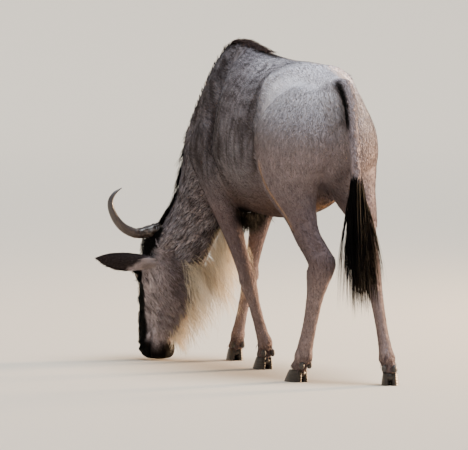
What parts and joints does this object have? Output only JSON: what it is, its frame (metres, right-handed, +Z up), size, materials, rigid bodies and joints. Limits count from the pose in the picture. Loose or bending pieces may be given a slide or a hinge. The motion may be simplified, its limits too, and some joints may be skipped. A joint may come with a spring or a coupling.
{
  "type": "wildebeest model",
  "caption": "Life-size still model of a grazing blue wildebeest: it stands on four legs, neck down, head turned to its left, with horns, mane, beard and tail tuft.",
  "frame": {"origin": "middle of the whole outline in X and Y, at the level of the floor", "axes": "+Z up, the wildebeest faces -X, its left side is towards -Y"},
  "size_m": [1.7806, 0.722, 1.2568],
  "materials": {
    "coat": "short dense fur, silvery grey to taupe with dark brindle stripes",
    "lower_coat": "short fur, brown-taupe",
    "mane": "long coarse black hair",
    "horn": "horn sheath, dark grey, slightly glossy",
    "hoof": "black horn of the hooves and dew claws",
    "eye": "wet dark brown eye"
  },
  "bodies": {
    "root": {"torso": "coat", "neck": "coat", "head": "coat", "tail": "coat", "tail_tuft": "mane", "hind_leg_left": "lower_coat", "hind_hoof_left": "hoof", "hind_dewclaw_left_outer": "hoof", "hind_dewclaw_left_inner": "hoof", "hind_leg_right": "lower_coat", "hind_hoof_right": "hoof", "hind_dewclaw_right_outer": "hoof", "hind_dewclaw_right_inner": "hoof", "fore_leg_left": "lower_coat", "fore_hoof_left": "hoof", "fore_dewclaw_left_outer": "hoof", "fore_dewclaw_left_inner": "hoof", "fore_leg_right": "lower_coat", "fore_hoof_right": "hoof", "fore_dewclaw_right_outer": "hoof", "fore_dewclaw_right_inner": "hoof", "horn_left": "horn", "ear_left": "coat", "eye_left": "eye", "horn_right": "horn", "ear_right": "coat", "eye_right": "eye"}
  },
  "joints": []
}
